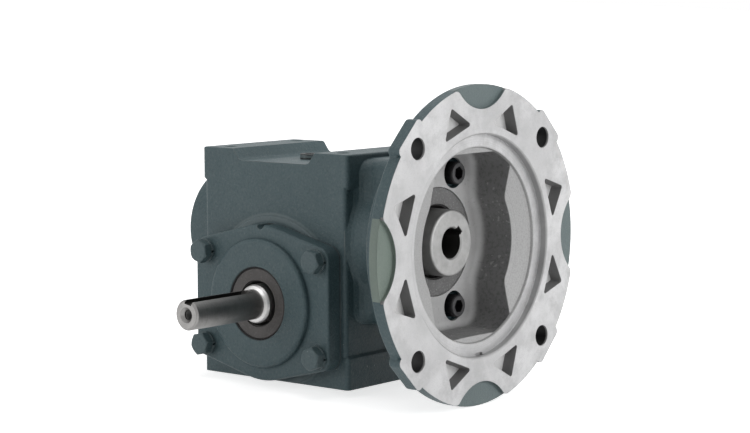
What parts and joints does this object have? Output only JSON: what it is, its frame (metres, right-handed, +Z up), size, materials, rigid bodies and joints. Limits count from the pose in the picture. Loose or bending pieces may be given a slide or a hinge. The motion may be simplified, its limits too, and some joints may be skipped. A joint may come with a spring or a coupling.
{
  "type": "worm gear reducer",
  "caption": "Right-angle worm gear speed reducer with a keyed output shaft, a bolted output cover and a round motor adapter with a hollow input shaft.",
  "frame": {"origin": "on the machined base, under the output shaft's axis and in the worm's plane", "axes": "+X along the worm to the motor face, -Y along the free end of the output shaft, +Z up"},
  "size_m": [0.1776, 0.1861, 0.1651],
  "materials": {
    "case_paint": "semi-gloss enamel over a sand-cast surface",
    "bare_aluminium": "machined face, cast inside, painted outside",
    "shaft_steel": "ground",
    "bearing_steel": "polished",
    "black_oxide": "black oxide",
    "plated_steel": "zinc plated",
    "bronze": "cut bronze",
    "hub_iron": "machined cast iron",
    "seal_rubber": "moulded nitrile",
    "seal_shell": "rubber-covered steel shell",
    "gasket_fibre": "compressed fibre",
    "cage_steel": "pressed steel"
  },
  "bodies": {
    "gearcase": {"housing": "case_paint", "output_cover": "case_paint", "closed_cover": "case_paint", "output_cover_shim": "gasket_fibre", "closed_cover_shim": "gasket_fibre", "output_cover_bolts": "case_paint", "closed_cover_bolts": "case_paint", "output_cover_washers": "case_paint", "closed_cover_washers": "case_paint", "output_seal_case": "seal_shell", "output_seal_lip": "seal_rubber", "output_seal_spring": "plated_steel", "output_bearing_cup": "bearing_steel", "closed_bearing_cup": "bearing_steel", "front_bearing_outer_ring": "bearing_steel", "rear_bearing_outer_ring": "bearing_steel", "bore_retaining_ring": "black_oxide", "worm_end_cap": "case_paint", "motor_adapter": "bare_aluminium", "adapter_gasket": "gasket_fibre", "adapter_screws": "black_oxide", "input_seal_case": "seal_shell", "input_seal_lip": "seal_rubber", "input_seal_spring": "plated_steel", "fill_plug": "black_oxide", "drain_plug": "black_oxide", "level_plug": "black_oxide"},
    "output_rotor": {"output_shaft": "shaft_steel", "gear_key": "shaft_steel", "gear_hub": "hub_iron", "worm_wheel_rim": "bronze", "spacer_sleeve": "shaft_steel", "output_bearing_cone": "bearing_steel", "closed_bearing_cone": "bearing_steel"},
    "worm_rotor": {"worm_shaft": "shaft_steel", "front_bearing_inner_ring": "bearing_steel", "rear_bearing_inner_ring": "bearing_steel", "shaft_retaining_ring": "black_oxide"},
    "output_roller_set": {"output_bearing_rollers": "bearing_steel", "output_bearing_cage": "cage_steel"},
    "closed_roller_set": {"closed_bearing_rollers": "bearing_steel", "closed_bearing_cage": "cage_steel"},
    "front_ball_set": {"front_bearing_balls": "bearing_steel", "front_bearing_cage": "cage_steel"},
    "rear_ball_set": {"rear_bearing_balls": "bearing_steel", "rear_bearing_cage": "cage_steel"}
  },
  "joints": [
    {"name": "worm_spin", "type": "hinge", "parent": "gearcase", "child": "worm_rotor", "pos_m": [0, 0, 0.07648], "axis": [1, 0, 0], "continuous": true},
    {"name": "output_spin", "type": "hinge", "parent": "gearcase", "child": "output_rotor", "pos_m": [0, 0, 0.0427], "axis": [0, 1, 0], "continuous": true},
    {"name": "output_rollers_spin", "type": "hinge", "parent": "gearcase", "child": "output_roller_set", "pos_m": [0, -0.03275, 0.0427], "axis": [0, 1, 0], "continuous": true},
    {"name": "closed_rollers_spin", "type": "hinge", "parent": "gearcase", "child": "closed_roller_set", "pos_m": [0, 0.03275, 0.0427], "axis": [0, 1, 0], "continuous": true},
    {"name": "front_balls_spin", "type": "hinge", "parent": "gearcase", "child": "front_ball_set", "pos_m": [0.06, 0, 0.07648], "axis": [1, 0, 0], "continuous": true},
    {"name": "rear_balls_spin", "type": "hinge", "parent": "gearcase", "child": "rear_ball_set", "pos_m": [-0.054, 0, 0.07648], "axis": [1, 0, 0], "continuous": true}
  ],
  "couplings": [
    {"joint": "output_spin", "follows": "worm_spin", "ratio": -0.066667},
    {"joint": "output_rollers_spin", "follows": "worm_spin", "ratio": -0.027862},
    {"joint": "closed_rollers_spin", "follows": "worm_spin", "ratio": -0.027862},
    {"joint": "front_balls_spin", "follows": "worm_spin", "ratio": 0.43822},
    {"joint": "rear_balls_spin", "follows": "worm_spin", "ratio": 0.38158}
  ]
}
